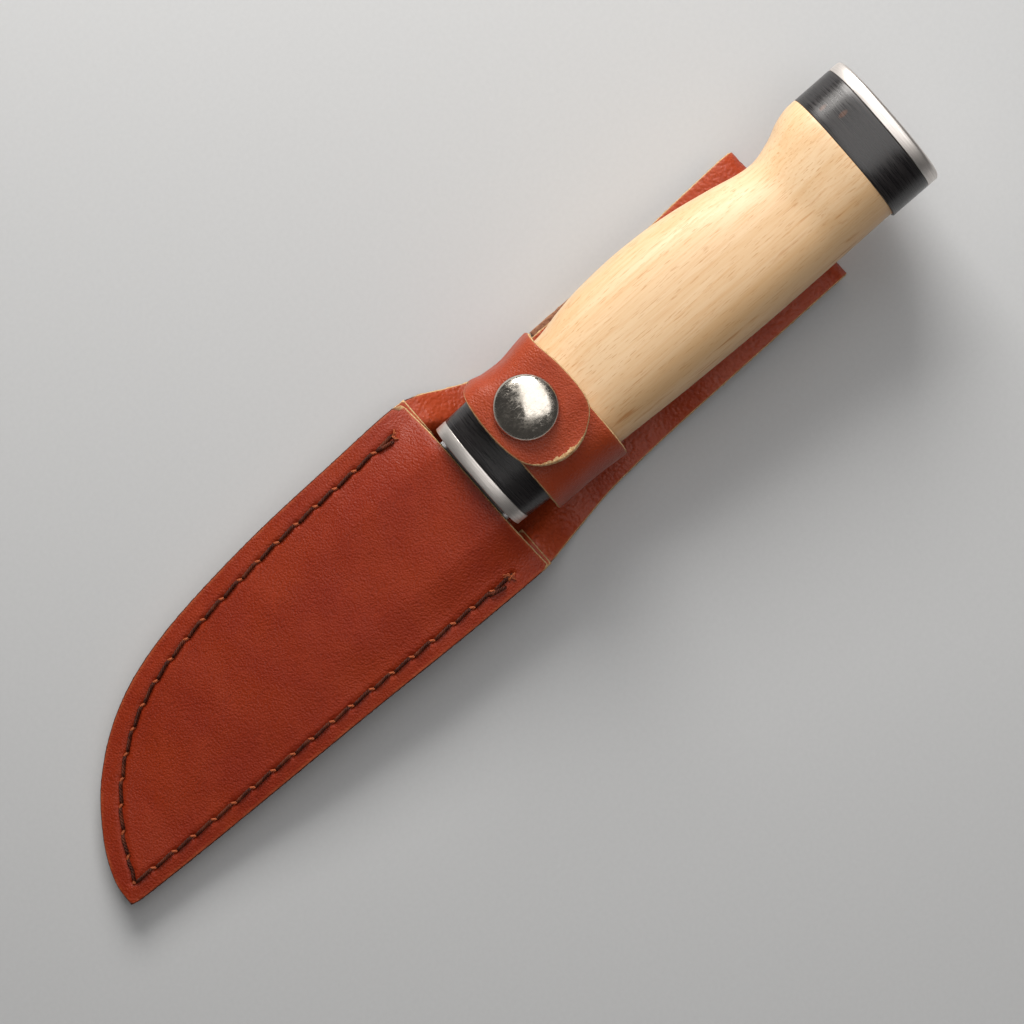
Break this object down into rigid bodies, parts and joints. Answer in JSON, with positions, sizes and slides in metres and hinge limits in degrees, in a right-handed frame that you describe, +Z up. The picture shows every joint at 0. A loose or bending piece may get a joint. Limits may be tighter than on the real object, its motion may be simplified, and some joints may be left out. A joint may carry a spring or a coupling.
{
  "type": "sheathed whittling knife",
  "caption": "Belly-edged fixed-blade whittling knife with a shaped wooden handle, lying in a stitched leather sheath with a snapped keeper strap and a belt loop.",
  "frame": {"origin": "centre of the bounding box at its base, on the surface that the sheath lies on", "axes": "+X along the knife towards its butt, +Y towards the cutting edge, +Z up from the surface it lies on"},
  "size_m": [0.2536, 0.0518, 0.0405],
  "materials": {
    "sheath_leather": "smooth satin",
    "welt_leather": "raw cut edge",
    "seam_thread": "waxed twist",
    "handle_wood": "oiled satin",
    "black_spacer": "fine sanded",
    "fitting_steel": "fine brushed",
    "blade_steel": "satin ground",
    "snap_nickel": "polished nickel with fine scratches"
  },
  "bodies": {
    "sheath": {"front_panel": "sheath_leather", "back_panel": "sheath_leather", "welt_belly": "welt_leather", "welt_spine": "welt_leather", "strap_wrap": "sheath_leather", "front_seam_thread": "seam_thread", "back_seam_thread": "seam_thread", "loop_thread": "seam_thread", "strap_thread": "seam_thread", "stud_eyelet": "snap_nickel", "snap_stud": "snap_nickel"},
    "knife": {"blade": "blade_steel", "front_bolster": "fitting_steel", "front_spacer": "black_spacer", "handle_body": "handle_wood", "rear_spacer": "black_spacer", "butt_cap": "fitting_steel", "tang_nut": "fitting_steel"},
    "flap": {"strap_flap": "sheath_leather", "snap_socket": "snap_nickel", "snap_cap": "snap_nickel"}
  },
  "joints": [
    {"name": "knife_draw", "type": "slide", "parent": "sheath", "child": "knife", "axis": [0.9949, 0, 0.1011], "range_m": [0, 0.15]},
    {"name": "flap_fold", "type": "hinge", "parent": "sheath", "child": "flap", "pos_m": [0.0201, 0.01725, 0.02554], "axis": [-0.9949, 0, -0.1011], "range_deg": [0, 130]}
  ]
}
